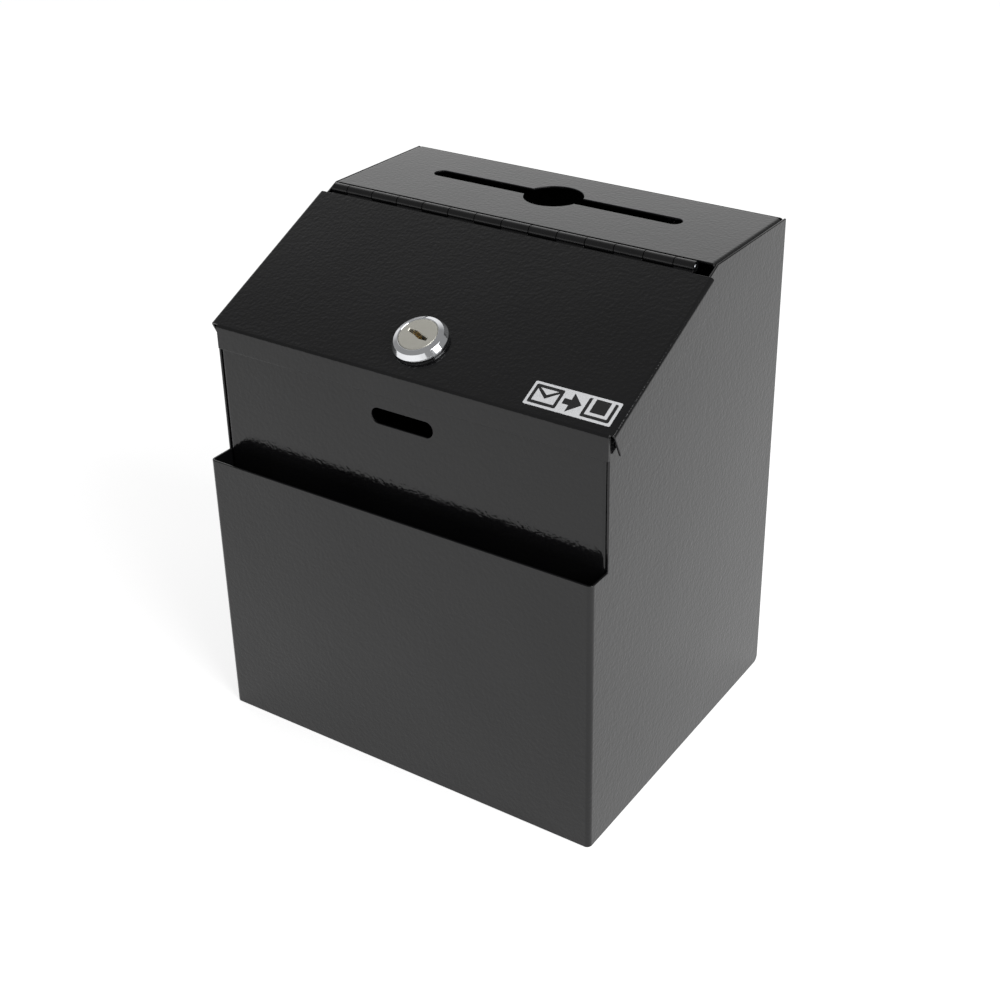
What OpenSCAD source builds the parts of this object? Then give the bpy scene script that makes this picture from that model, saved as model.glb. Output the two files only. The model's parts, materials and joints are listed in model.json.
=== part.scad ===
// Lockable steel drop box: a sloping lid on a piano hinge, a cam lock, a posting
// slot in the top, a sight window in the front and a leaflet pocket below it.
// Millimetres. +X is right, -Y is the front, +Z is up. The origin is on the floor,
// midway between the left and right edges of the lid, and midway from the pocket
// front to the back.

/* [Body] */
// Width across the two side plates
body_w = 183; // [150:1:260]
// Depth from the pocket front to the back
body_d = 150; // [120:1:220]
// Height of the top panel
body_h = 215.5; // [178:0.5:300]
// Thickness of every steel sheet
sheet = 1; // [0.8:0.1:1.5]
// Outer radius of the sheet bends
bend_r = 1.6; // [1.6:0.1:3]
// Outer radius of the corners beside the pocket front
corner_r = 2.2; // [2:0.1:4]
// Radius of the side plates' lower rear corners
foot_corner_r = 3; // [1:0.5:6]
// Gap left between a bent flange and the plate that it is welded to
fit_gap = 0.1; // [0.05:0.05:0.3]
// Depth of the flanges folded along the panels' edges
flange_d = 10; // [6:0.5:16]
// Step from the side plates' upper edges to the top panel
top_step = 0.5; // [0.5:0.1:2]
// Distance from the back to the hinge axis
top_d = 63.3; // [55:0.1:90]

/* [Pocket and front panel] */
// Height of the pocket's rim
pocket_h = 121.4; // [80:0.1:140]
// Distance from the pocket front to the front panel
pocket_d = 11.5; // [6:0.1:25]
// Height of the front panel's upper edge above the lid's lower rim
catch_rise = 4; // [3:0.1:5]
// Depth of the flange that the cam catches under
catch_d = 7.4; // [5:0.1:9]
// Length of the sight window
window_l = 29; // [15:1:80]
// Height of the sight window
window_h = 6.6; // [5:0.1:12]
// Distance from the lid's lower rim down to the middle of the window
window_drop = 10; // [6:0.1:30]

/* [Posting slot] */
// Length of the slot
slot_l = 120.7; // [80:0.1:140]
// Distance from the middle of the width to the middle of the slot
slot_x = -1.5; // [-4:0.1:4]
// Width of the slot
slot_w = 7.2; // [5:0.1:10]
// Diameter of the round hole in the middle of the slot
hole_d = 25.4; // [15:0.1:35]
// Distance from the back to the middle of the slot
slot_y = 27.8; // [18:0.1:40]

/* [Lid] */
// Slope of the lid, in degrees
slope = 25.6; // [20:0.1:35]
// Depth of the lip that hangs over the front panel
lip_d = 10; // [8:0.1:16]
// Gap between the lip and the front panel
lip_gap = 0.7; // [0.4:0.1:2]
// Gap between the lid's side flanges and the side plates
side_gap = 1.2; // [0.3:0.1:1.5]
// Gap between the lid's underside and the side plates' sloping edges
seat_gap = 0.4; // [0.3:0.1:1]
// Depth of the lid's side flanges
lid_flange = 11.4; // [8:0.1:16]
// Radius of the rear corner of the side flanges
lid_flange_r = 2.5; // [1:0.1:5]
// Relief at the lip's left end, from the lid's edge
relief_left = 3.6; // [1.2:0.1:5]
// Relief at the lip's right end, from the lid's edge
relief_right = 1.8; // [1.2:0.1:5]
// Gap between the knuckles and the lid's upper edge
lid_edge_gap = 1.8; // [0.8:0.1:3]

/* [Hinge] */
// Distance from the left side plate's inner face to the hinge
hinge_left = 1.6; // [1.5:0.1:4]
// Distance from the hinge to the right side plate's inner face
hinge_right = 6.4; // [1.5:0.1:10]
// Length of one knuckle
knuckle_l = 13; // [8:0.5:25]
// Length of the first, cut knuckle
knuckle_first = 8.1; // [4:0.1:12]
// Radius of a knuckle
knuckle_r = 2.2; // [2:0.1:2.8]
// Gap between the knuckles and the edges that face them
knuckle_room = 0.4; // [0.3:0.1:0.8]
// Gap between two knuckles
knuckle_gap = 0.3; // [0.2:0.1:0.6]
// Radius of the hinge pin
pin_r = 1.2; // [1:0.05:1.3]
// Clearance round the pin
pin_gap = 0.05; // [0.03:0.01:0.09]
// Thickness of the hinge leaves
leaf_t = 0.8; // [0.6:0.1:1]
// Width of each leaf, from the hinge axis
leaf_w = 14; // [10:0.5:18]

/* [Lock] */
// Distance from the lid's lower bend to the lock's axis
lock_up = 18; // [17:0.1:30]
// Width of the bezel outside the barrel
bezel_lip = 1.9; // [1.6:0.1:4]
// Width of the sloping ring round the plug's face
bezel_rim = 2.2; // [1.4:0.1:2.4]
// Radius of the plug's face
face_r = 7.8; // [7.5:0.1:8.3]
// Height of the plug's face above the lid
face_z = 4.8; // [4:0.1:6]
// Radius of the threaded barrel
barrel_r = 9.4; // [9.2:0.1:11.5]
// Depth of the two flats on the barrel
flat_cut = 1.2; // [0.6:0.1:1.2]
// Length of the barrel below the lid's outer face
barrel_l = 15; // [14:0.1:16]
// Thickness of the trim ring under the bezel
ring_t = 1.2; // [0.8:0.1:1.6]
// Radius of the plug
plug_r = 6.2; // [6:0.05:6.3]
// Clearance between the plug and the housing
plug_gap = 0.05; // [0.03:0.01:0.09]
// Clearance between the barrel and what it passes through
barrel_gap = 0.15; // [0.1:0.05:0.3]
// Wall of the nut outside the barrel, at its flats
nut_wall = 2.6; // [2:0.1:3.5]
// Thickness of the nut
nut_t = 5; // [3:0.5:6]
// Thickness of the toothed washer
washer_t = 0.8; // [0.5:0.1:1]
// Number of gaps between the toothed washer's teeth
teeth_n = 12; // [8:1:16]
// Gap between the cam's tip and the front panel when it is locked
cam_gap = 0.6; // [0.4:0.1:1.5]
// Width of the cam
cam_w = 14; // [10:0.5:15]
// Thickness of the cam
cam_t = 1.6; // [1.2:0.1:2]
// Rise of the cam's tip towards the lid
cam_rise = 4.7; // [3:0.1:5]
// Turn of the plug from open to locked, in degrees
lock_turn = 90; // [80:1:95]
// Number of wafers in the plug
wafers_n = 6; // [4:1:7]

/* [Label] */
// Length of the label
label_l = 36.2; // [20:0.1:50]
// Height of the label
label_h = 11; // [8:0.1:16]
// Distance from the lid's right edge to the label
label_side = 3.8; // [2.5:0.1:12]
// Distance from the lid's lower bend to the label
label_up = 4.1; // [2:0.1:12]
// Thickness of the label
label_t = 0.15; // [0.1:0.05:0.3]

/* [Wall holes] */
// Distance between the wall holes across the back
wall_x = 120; // [60:1:130]
// Distance between the upper and lower wall holes
wall_z = 120; // [60:1:130]
// Radius of the wall holes
wall_r = 3; // [2:0.1:4]

/* [Hidden] */
$fn = 48;
over = 1;        // how far a cutter runs past what it cuts
lap = 0.1;       // how far the lip's bend runs into the flats beside it
wide = 400;      // longer than anything that a cutter has to cross

COAT = [0.13, 0.13, 0.135];
CHROME = [0.85, 0.86, 0.88];
STEEL = [0.62, 0.62, 0.64];
BRASS = [0.78, 0.63, 0.3];
WHITE = [0.93, 0.93, 0.93];

// Faces of the body, with y measured from the middle of the depth
front_y = -body_d / 2;
back_y = body_d / 2;
panel_y = front_y + pocket_d;                 // front panel's outer face
half_w = body_w / 2;
in_w = half_w - sheet;                        // side plates' inner faces
bend_in = bend_r - sheet;                     // inner radius of a bend
plate_top = body_h - top_step;                // side plates' upper edges

// Hinge axis
hinge_y = back_y - top_d;
hinge_z = body_h - sheet - leaf_t;
hinge_x = -in_w + hinge_left;
hinge_l = 2 * in_w - hinge_left - hinge_right;
knuckles = 2 + floor((hinge_l - knuckle_first) / knuckle_l);
knuckle_clear = knuckle_r + knuckle_room;
tang_in = pin_r + pin_gap + 0.4;              // tangs start inside the knuckles' wall
leaf_end = 0.6;                               // leaves stop this much short of the end knuckles
top_front = hinge_y + knuckle_clear;          // top panel's front edge
top_w = 2 * (in_w - fit_gap);                 // width of the panels between the side plates
corner_cut = 5;                               // side flanges' relief at the top panel's rear

// Lid plane: its underside passes through the hinge axis
lip_y = panel_y - lip_gap - sheet;            // lip's outer face
lid_run = hinge_y - lip_y;
lid_z = hinge_z + sheet / cos(slope) - lid_run * tan(slope);   // height of the lower bend
axis_up = lid_run / cos(slope) - sheet * tan(slope);   // lower bend to hinge axis, along the lid
lid_l = axis_up - knuckle_r - lid_edge_gap;
lid_half = half_w + side_gap + sheet;
rim_z = lid_z - lip_d;                        // lid's lower rim
catch_z = rim_z + catch_rise;                 // front panel's upper edge

// Lock, in the lid's plane: z is measured outwards from the lid's outer face
bezel_r = barrel_r + bezel_lip;
flat_r = barrel_r - flat_cut;                 // lock's axis to a flat
nut_af = 2 * (barrel_r + nut_wall);
axial_gap = 0.05;                             // under the plug's head
bezel_edge = 0.6;                             // chamfer of the bezel's lower edge
bezel_fall = 0.8;                             // drop of the ring from the plug's face outwards
tail_r = 3.2;                                 // half the square tail's width
tail_gap = 0.05;                              // each side of the tail in the cam and stop washer
tail_short = 0.2;                             // tail ends inside the cam, so the screw clamps it
recess_z = -barrel_l + 1.8;                   // floor of the recess for the stop washer
recess_r = plug_r + 1;
recess_gap = 0.2;                             // round the stop washer
tooth_r = 0.8;                                // gaps between the toothed washer's teeth
shoulder_z = recess_z - 0.2;                  // rear end of the round plug
cam_z = -barrel_l - 0.2;                      // cam's face towards the lid
tip_z = cam_z + cam_rise;                     // the same face at its raised tip
cam_l = lock_up - (panel_y + sheet + cam_gap - lip_y + tip_z * sin(slope)) / cos(slope);
head_seat = face_z - 1.5;                     // seat of the plug's head in the bezel
screw_r = 1.9;
screw_gap = 0.05;
screw_l = 5.5;                                // shank, from the cam washer's face
screw_head_r = 3.8;
screw_head_t = 2.4;
cross_l = 4.4;                                // cross in the screw's head
cross_t = 0.8;
cam_washer_r = 5;
cam_washer_t = 0.8;
screw_seat = cam_z - cam_t - cam_washer_t;    // face of the cam washer under the screw's head
key_l = 9;                                    // keyway
key_t = 2.2;
wafer_l = 10.8;
wafer_w = 5.4;
wafer_t = 0.6;
wafer_slot = 0.9;
wafer_pitch = 1.9;
wafer_window = 6.7;                           // window that the key passes through
first_wafer = 4.5;                            // depth of the first wafer below the plug's face
spring_r = 0.4;
spring_l = 2.8;
spring_gap = 0.15;
tab_half = 1.4;                               // half the width of the stop washer's tab
stop_play = 4;                                // degrees left beyond the tab at each stop

function knuckle_at(i) = i == 0 ? hinge_x : hinge_x + knuckle_first + (i - 1) * knuckle_l;
function knuckle_end(i) = min(hinge_x + hinge_l, hinge_x + knuckle_first + i * knuckle_l);
function wafer_at(i) = face_z - first_wafer - i * wafer_pitch;

// Frame of the lid: x across, y up the slope, z out of its outer face
module on_lid() translate([0, lip_y, lid_z]) rotate([slope, 0, 0]) children();

// Frame of the lock: as the lid's, with its origin on the lock's axis
module on_lock() on_lid() translate([0, lock_up, 0]) children();

// An outline drawn in y and z, extruded along x from the middle
module along_x(length) rotate([90, 0, 90]) translate([0, 0, -length / 2])
    linear_extrude(length) children();

module at_corners(dx, dy) for (sx = [-1, 1], sy = [-1, 1]) translate([sx * dx, sy * dy]) children();

// Rectangle with its corners rounded
module soft_square(w, h, r) {
    square([w - 2 * r, h], center = true);
    square([w, h - 2 * r], center = true);
    at_corners(w / 2 - r, h / 2 - r) circle(r);
}

// Slot outline with round ends
module stadium(length, width) {
    square([length - width, width], center = true);
    for (s = [-1, 1]) translate([s * (length - width) / 2, 0]) circle(width / 2);
}

// Section of a channel: a web at y = 0 with two flanges towards +y
module channel(w, depth, r_out) difference() {
    translate([0, depth]) soft_square(w, 2 * depth, r_out);
    translate([0, depth + sheet]) soft_square(w - 2 * sheet, 2 * depth, r_out - sheet);
    translate([-wide / 2, depth]) square(wide);
}

// Section of one flange folded off a panel: the panel comes in along -x with its
// outer face at y = 0, and the flange hangs to y = -depth with its outer face at x = 0
module folded(reach, depth) {
    translate([-reach, -sheet]) square([reach - bend_r, sheet]);
    translate([-sheet, -depth]) square([sheet, depth - bend_r]);
    translate([-bend_r, -bend_r]) intersection() {
        difference() { circle(bend_r); circle(bend_in); }
        square(bend_r);
    }
}

// Sheet bent round the pocket: the pocket front and both side plates
module outer_wrap() color(COAT) difference() {
    translate([0, front_y, 0]) linear_extrude(plate_top) channel(body_w, body_d, corner_r);
    translate([-wide / 2, front_y - over, pocket_h]) cube([wide, pocket_d + over, wide]);
    on_lid() translate([-wide / 2, -wide / 2, -sheet - seat_gap]) cube(wide);
    along_x(wide) foot_corner();
}

// What the side plates lose at their lower rear corners
module foot_corner() translate([back_y - foot_corner_r, 0]) difference() {
    translate([0, -over]) square([foot_corner_r + over, foot_corner_r + over]);
    translate([0, foot_corner_r]) circle(foot_corner_r);
}

// Inner front panel, folded back at its sides, its foot and its upper edge
module front_panel() color(COAT) difference() {
    union() {
        intersection() {
            translate([0, panel_y, sheet]) linear_extrude(catch_z - sheet - bend_r)
                channel(top_w, flange_d + bend_r, bend_r);
            translate([-wide / 2, -wide / 2, 0]) cube([wide, wide, catch_z - bend_r]);
        }
        along_x(top_w - 2 * bend_r) translate([panel_y, catch_z]) folded_edge(catch_d);
        along_x(top_w - 2 * bend_r) translate([panel_y + sheet, sheet])
            square([flange_d - sheet, sheet]);
    }
    translate([0, panel_y, rim_z - window_drop]) rotate([90, 0, 0])
        linear_extrude(4 * sheet, center = true) stadium(window_l, window_h);
    on_lid() translate([-wide / 2, -wide / 2, -sheet - seat_gap]) cube(wide);
}

// Upper edge of the front panel in section, folded back from the corner at the origin
module folded_edge(depth) {
    translate([bend_r, -sheet]) square([depth - bend_r, sheet]);
    translate([bend_r, -bend_r]) intersection() {
        difference() { circle(bend_r); circle(bend_in); }
        translate([-bend_r, 0]) square(bend_r);
    }
}

// Back panel with the wall holes, folded forward at its sides up to the top panel's flanges
module back_panel() color(COAT) difference() {
    translate([0, back_y, sheet]) mirror([0, 1, 0]) linear_extrude(plate_top - sheet)
        channel(top_w, flange_d, bend_r);
    at_wall_holes() cylinder(r = wall_r, h = 4 * sheet, center = true);
    translate([-wide / 2, back_y - bend_r - wide, body_h - flange_d - over]) cube(wide);
}

module at_wall_holes() translate([0, back_y, body_h / 2]) rotate([90, 0, 0])
    at_corners(wall_x / 2, wall_z / 2) children();

// Bottom panel with its edges folded up
module bottom_panel() color(COAT) {
    inner_d = body_d - 2 * sheet - 2 * fit_gap;
    side_l = body_d - pocket_d - 2 * flange_d - 8 * sheet;
    linear_extrude(sheet) soft_square(top_w, inner_d, bend_r);
    for (s = [-1, 1]) {
        translate([s * (top_w / 2 - sheet / 2), (pocket_d - sheet) / 2, flange_d / 2])
            cube([sheet, side_l, flange_d], center = true);
        translate([0, s * (inner_d / 2 - sheet / 2), flange_d / 2])
            cube([top_w - 2 * bend_r - 2 * sheet, sheet, flange_d], center = true);
    }
}

// Top panel, folded down at its sides and rear, with the posting slot
module top_panel() color(COAT) difference() {
    length = back_y - sheet - fit_gap - top_front;
    union() {
        translate([0, top_front, body_h]) rotate([-90, 0, 0])
            linear_extrude(length - bend_r) channel(top_w, flange_d, bend_r);
        along_x(top_w - 2 * bend_r) translate([top_front + length, body_h])
            folded(2 * bend_r, flange_d);
    }
    translate([slot_x, back_y - slot_y, body_h]) linear_extrude(4 * sheet, center = true) {
        stadium(slot_l, slot_w);
        circle(hole_d / 2);
    }
    translate([-wide / 2, top_front + length - corner_cut, body_h - wide - bend_r])
        cube([wide, corner_cut - bend_r, wide]);
}

// Knuckles of one hinge leaf, every second one, from number `first`
module knuckle_row(first) for (i = [first:2:knuckles - 1])
    translate([knuckle_at(i) + knuckle_gap / 2, 0, 0]) rotate([0, 90, 0])
        cylinder(r = knuckle_r, h = knuckle_end(i) - knuckle_at(i) - knuckle_gap);

// Tangs that join those knuckles to the leaf, whose lower face is at z = low
module tang_row(first, low) for (i = [first:2:knuckles - 1])
    translate([knuckle_at(i) + knuckle_gap / 2, tang_in, low])
        cube([knuckle_end(i) - knuckle_at(i) - knuckle_gap, knuckle_clear, leaf_t]);

// One leaf about the hinge axis, lying towards +y with its lower face at z = low
module hinge_leaf(first, low) difference() {
    union() {
        knuckle_row(first);
        tang_row(first, low);
        translate([hinge_x + leaf_end, knuckle_clear, low])
            cube([hinge_l - 2 * leaf_end, leaf_w - knuckle_clear, leaf_t]);
    }
    translate([hinge_x - over, 0, 0]) rotate([0, 90, 0])
        cylinder(r = pin_r + pin_gap, h = hinge_l + 2 * over);
}

module hinge_leaf_body() color(COAT) translate([0, hinge_y, hinge_z]) hinge_leaf(0, 0);

module hinge_leaf_lid() color(COAT) on_lid() translate([0, axis_up, -sheet])
    mirror([0, 1, 0]) hinge_leaf(1, -leaf_t);

module hinge_pin() color(STEEL) translate([hinge_x, hinge_y, hinge_z]) rotate([0, 90, 0])
    cylinder(r = pin_r, h = hinge_l);

// Lid: the sloping plate, its side flanges and the lip
module lid() color(COAT) difference() {
    union() {
        on_lid() difference() {
            translate([0, lip_turn(), 0]) rotate([-90, 0, 0])
                linear_extrude(lid_l - lip_turn()) channel(2 * lid_half, lid_flange, bend_r);
            along_x(wide) flange_corner();
        }
        translate([(relief_left - relief_right) / 2, 0, 0])
            along_x(2 * lid_half - relief_left - relief_right) lip_section();
    }
    on_lock() linear_extrude(4 * sheet, center = true) barrel_outline(barrel_gap);
}

// Length that the lip's bend takes off each face beside it
function lip_turn() = bend_r * tan((90 - slope) / 2);

// What the side flanges lose at their rear lower corners
module flange_corner() translate([lid_l - lid_flange_r, -lid_flange + lid_flange_r]) difference() {
    translate([0, -lid_flange_r - over]) square([lid_flange_r + over, lid_flange_r + over]);
    circle(lid_flange_r);
}

// Lip and its bend in section, in y and z; the bend runs a little way into both flats
module lip_section() {
    into_plate = slope - lap / bend_r * 180 / PI;
    translate([lip_y, rim_z]) square([sheet, lip_d - lip_turn()]);
    translate([lip_y + bend_r, lid_z - lip_turn()]) intersection() {
        difference() { circle(bend_r); circle(bend_in); }
        polygon([[0, 0], [0, -lap], [-2 * bend_r, -lap], [-2 * bend_r, 3 * bend_r],
                 [-3 * bend_r * sin(into_plate), 3 * bend_r * cos(into_plate)]]);
    }
}

module label() color(WHITE) on_lid() translate([lid_half - label_side - label_l, label_up, 0])
    cube([label_l, label_h, label_t]);

// Outline of the barrel with its two flats, grown by a gap
module barrel_outline(gap) intersection() {
    circle(barrel_r + gap);
    square([wide, 2 * (flat_r + gap)], center = true);
}

// Bezel and barrel of the lock
module lock_housing() color(CHROME) on_lock() difference() {
    union() {
        rotate_extrude() polygon([[0, ring_t], [bezel_r - bezel_edge, ring_t],
            [bezel_r, ring_t + bezel_edge], [face_r + bezel_rim, face_z - bezel_fall],
            [face_r + plug_gap + bezel_edge / 2, face_z + 0.1], [0, face_z + 0.1]]);
        translate([0, 0, -barrel_l]) linear_extrude(barrel_l + ring_t + 0.5) barrel_outline(0);
    }
    translate([0, 0, -barrel_l - over]) cylinder(r = plug_r + plug_gap, h = wide);
    translate([0, 0, head_seat]) cylinder(r = face_r + plug_gap, h = wide);
    translate([0, 0, -barrel_l - over])
        cylinder(r = recess_r + recess_gap, h = recess_z + barrel_l + over);
    translate([0, 0, -barrel_l - over]) linear_extrude(recess_z + barrel_l + over) stop_sector();
}

// Part of the barrel's rim that is open for the stop washer's tab
module stop_sector() {
    half_tab = asin(tab_half / recess_r) + stop_play;
    reach = 2 * barrel_r;
    polygon([[0, 0], for (a = [180 + half_tab, 180 - lock_turn / 2, 180 - lock_turn - half_tab])
        [reach * cos(a), reach * sin(a)]]);
}

// Collar between the bezel and the lid
module lock_trim_ring() color(CHROME) on_lock() difference() {
    cylinder(r = bezel_r - bezel_edge, h = ring_t);
    linear_extrude(4 * ring_t, center = true) barrel_outline(barrel_gap);
}

// Toothed washer under the nut
module lock_washer() color(STEEL) on_lock() translate([0, 0, -sheet - washer_t])
    linear_extrude(washer_t) difference() {
        circle(nut_af / 2);
        circle(barrel_r + barrel_gap);
        for (i = [0:teeth_n - 1]) rotate(360 * i / teeth_n) translate([barrel_r + tooth_r, 0])
            circle(tooth_r);
    }

module lock_nut() color(STEEL) on_lock() translate([0, 0, -sheet - washer_t - nut_t])
    linear_extrude(nut_t) difference() {
        circle(nut_af / 2 / cos(30), $fn = 6);
        circle(barrel_r + plug_gap);
    }

// Plug: head, round body with the keyway and the wafers' slots, and a square tail
module lock_plug() color(STEEL) on_lock() difference() {
    union() {
        translate([0, 0, head_seat + axial_gap])
            cylinder(r = face_r, h = face_z - head_seat - axial_gap);
        translate([0, 0, shoulder_z]) cylinder(r = plug_r, h = head_seat - shoulder_z + 0.5);
        translate([0, 0, cam_z - cam_t + tail_short])
            linear_extrude(shoulder_z - cam_z + cam_t)
            square(2 * tail_r, center = true);
    }
    translate([0, 0, wafer_at(wafers_n)]) linear_extrude(wide) keyway();
    for (i = [0:wafers_n - 1]) translate([0, 0, wafer_at(i)])
        cube([wide, wafer_w + 2 * spring_gap, wafer_slot], center = true);
    translate([0, 0, cam_z - cam_t - over]) cylinder(r = screw_r + screw_gap, h = screw_l + over);
}

// Cranked opening for the key
module keyway() {
    step = key_t / 4;
    polygon([[-key_l / 2, step], [-key_l / 2, key_t / 2 + step], [-key_l / 6, key_t / 2 + step],
             [0, key_t / 2], [key_l / 2, key_t / 2 - step], [key_l / 2, -key_t / 2 - step],
             [key_l / 6, -key_t / 2 - step], [0, -key_t / 2], [-key_l / 6, -key_t / 2 + step]]);
}

// Wafers that the key lifts, one to each slot
module wafers() color(BRASS) for (i = [0:wafers_n - 1]) on_lock() translate([0, 0, wafer_at(i)])
    linear_extrude(wafer_t, center = true) difference() {
        square([wafer_l, wafer_w], center = true);
        square([wafer_window, key_t + 2 * spring_gap], center = true);
        translate([wafer_l / 2 - spring_l - 2 * spring_gap, wafer_w / 2 - 3 * spring_r])
            square([wafer_l, wafer_w]);
    }

// Springs beside the wafers
module wafer_springs() color(STEEL) for (i = [0:wafers_n - 1]) on_lock()
    translate([wafer_l / 2 - spring_l - spring_gap, wafer_w / 2 - 1.4 * spring_r, wafer_at(i)])
        rotate([0, 90, 0]) cylinder(r = spring_r, h = spring_l);

// Washer on the square tail, whose tab stops the turn
module stop_washer() color(STEEL) on_lock() translate([0, 0, cam_z])
    linear_extrude(shoulder_z - cam_z) difference() {
        union() {
            circle(recess_r);
            intersection() {
                translate([-wide, -tab_half]) square([wide, 2 * tab_half]);
                circle(flat_r - recess_gap / 2);
            }
        }
        square(2 * (tail_r + tail_gap), center = true);
    }

// Cam: a flat boss on the tail, cranked up towards the lid outside the barrel
module lock_cam() color(STEEL) on_lock() difference() {
    intersection() {
        rotate([90, 0, 0]) linear_extrude(cam_w, center = true) cam_section();
        translate([0, 0, cam_z - 2 * cam_t]) linear_extrude(cam_rise + 3 * cam_t)
            cam_outline();
    }
    cube([2 * (tail_r + tail_gap), 2 * (tail_r + tail_gap), wide], center = true);
}

// Side view of the cam, in x and z
module cam_section() {
    crank = barrel_r + 1.9;
    rise = crank + 2.9;
    lean = 0.45 * cam_t;
    polygon([[-cam_w, cam_z], [crank, cam_z], [rise, tip_z], [cam_l + over, tip_z],
             [cam_l + over, tip_z - cam_t], [rise + lean, tip_z - cam_t],
             [crank + lean, cam_z - cam_t], [-cam_w, cam_z - cam_t]]);
}

// Plan of the cam: round at the boss and at the tip, about the lock's axis
module cam_outline() intersection() {
    circle(cam_l);
    union() {
        circle(cam_w / 2);
        translate([0, -cam_w / 2]) square([cam_l, cam_w]);
    }
}

module cam_washer() color(STEEL) on_lock() translate([0, 0, screw_seat]) difference() {
    cylinder(r = cam_washer_r, h = cam_washer_t);
    translate([0, 0, -over]) cylinder(r = screw_r + 4 * screw_gap, h = wide);
}

// Screw that clamps the cam, with a cross in its head
module cam_screw() color(STEEL) on_lock() translate([0, 0, screw_seat]) {
    cylinder(r = screw_r, h = screw_l);
    difference() {
        translate([0, 0, -screw_head_t]) cylinder(r = screw_head_r, h = screw_head_t);
        for (a = [0, 90]) rotate(a) translate([0, 0, -screw_head_t])
            cube([cross_l, cross_t, screw_head_t], center = true);
    }
}

outer_wrap();
front_panel();
back_panel();
bottom_panel();
top_panel();
hinge_leaf_body();
hinge_leaf_lid();
hinge_pin();
lid();
label();
lock_housing();
lock_trim_ring();
lock_washer();
lock_nut();
lock_plug();
wafers();
wafer_springs();
stop_washer();
lock_cam();
cam_washer();
cam_screw();
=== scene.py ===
"""The looks of a lockable steel drop box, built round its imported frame.

The box is a folded sheet-steel case with a leaflet pocket in front, a sloping lid on a piano
hinge, and a cam lock in the lid. Each class below that makes meshes is one sub-assembly. It
takes its places from the frame, builds its pieces in millimetres and dresses them in a finish.
"""

import json
import logging
import math
from collections.abc import Sequence
from dataclasses import dataclass, field
from enum import Enum

import bmesh
import bpy
from mathutils import Matrix, Vector

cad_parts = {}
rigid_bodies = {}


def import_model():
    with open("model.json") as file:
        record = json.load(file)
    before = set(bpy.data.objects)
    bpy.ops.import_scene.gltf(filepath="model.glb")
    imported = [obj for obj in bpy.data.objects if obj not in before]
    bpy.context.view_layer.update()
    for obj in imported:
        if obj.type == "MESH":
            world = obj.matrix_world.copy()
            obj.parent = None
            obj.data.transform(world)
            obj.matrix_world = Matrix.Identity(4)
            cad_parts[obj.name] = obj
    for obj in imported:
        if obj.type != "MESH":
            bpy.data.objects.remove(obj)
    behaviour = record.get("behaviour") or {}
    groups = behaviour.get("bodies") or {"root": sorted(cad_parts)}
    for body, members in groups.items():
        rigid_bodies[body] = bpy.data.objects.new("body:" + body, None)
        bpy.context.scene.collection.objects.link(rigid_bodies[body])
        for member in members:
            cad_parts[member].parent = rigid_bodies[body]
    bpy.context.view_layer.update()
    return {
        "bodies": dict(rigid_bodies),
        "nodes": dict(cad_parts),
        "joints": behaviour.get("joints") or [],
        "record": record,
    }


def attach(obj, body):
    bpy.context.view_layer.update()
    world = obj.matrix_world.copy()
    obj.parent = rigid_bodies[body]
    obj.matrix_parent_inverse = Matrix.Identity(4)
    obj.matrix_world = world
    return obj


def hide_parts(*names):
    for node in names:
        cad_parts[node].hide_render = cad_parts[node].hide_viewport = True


LOG = logging.getLogger("drop_box")

MM = 0.001  # metres in a millimetre

# All in millimetres
WELD = 1e-4  # corners nearer than this are one
FINE_WELD = 1e-5  # the same on a lathe, where true corners lie closer
FRAME_WELD = 2e-3  # the same on the frame's meshes
PAST = 1.0  # how far a cutter reaches past the solid
LEVEL = 0.05  # corners this near to the end of a solid count as on it
BARREL_LEVEL = -0.5  # a height in the lock's axes that is below its bezel and collar
BARREL_GAP = 0.15  # between the lock's barrel and what sits round it

FRAME_FLAT = 0.4  # degrees between faces of the frame that count as one
FLAT = 0.2  # the same where folds are joined
SHARP = 30.0  # degrees of an edge from which it is rounded
CREASE = 38.0  # degrees of an edge from which it stays crisp

ROUND = 96  # faces round a lathe
FINE_ROUND = 144  # the same where a reflection shows them
COAT_STEPS = 3  # faces across an edge that the coat rounds
COAT_ROUND = 0.3  # how far the coat rounds a cut edge

Outline = Sequence[tuple[float, float]]
Points = list[tuple[float, float]]
Pair = tuple[float, float]
Triple = tuple[float, float, float]
Solid = bmesh.types.BMesh
Tree = bpy.types.NodeTree
Socket = bpy.types.NodeSocket


class Body(Enum):
    """The three rigid bodies of the box."""

    CASE = "case"
    LID = "lid"
    PLUG = "plug"


class Boolean(Enum):
    """What a boolean does with the second solid."""

    CUT = "DIFFERENCE"
    JOIN = "UNION"
    KEEP = "INTERSECT"


# ------------------------------
# Finishes


def linear(code: str, alpha: float = 1.0) -> tuple[float, float, float, float]:
    """Turns an sRGB hex colour into linear light.

    Args:
        code: The colour as six hex digits after a hash.
        alpha: The fourth channel.

    Returns:
        Red, green, blue and alpha, as a shader socket takes them.
    """
    shares = [int(code[i : i + 2], 16) / 255 for i in (1, 3, 5)]
    light = [s / 12.92 if s <= 0.04045 else ((s + 0.055) / 1.055) ** 2.4 for s in shares]
    return (*light, alpha)


def per_mm(size: float) -> float:
    """Texture scale, in repeats per metre, of a pattern that repeats every `size` millimetres."""
    return 1 / (size * MM)


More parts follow.
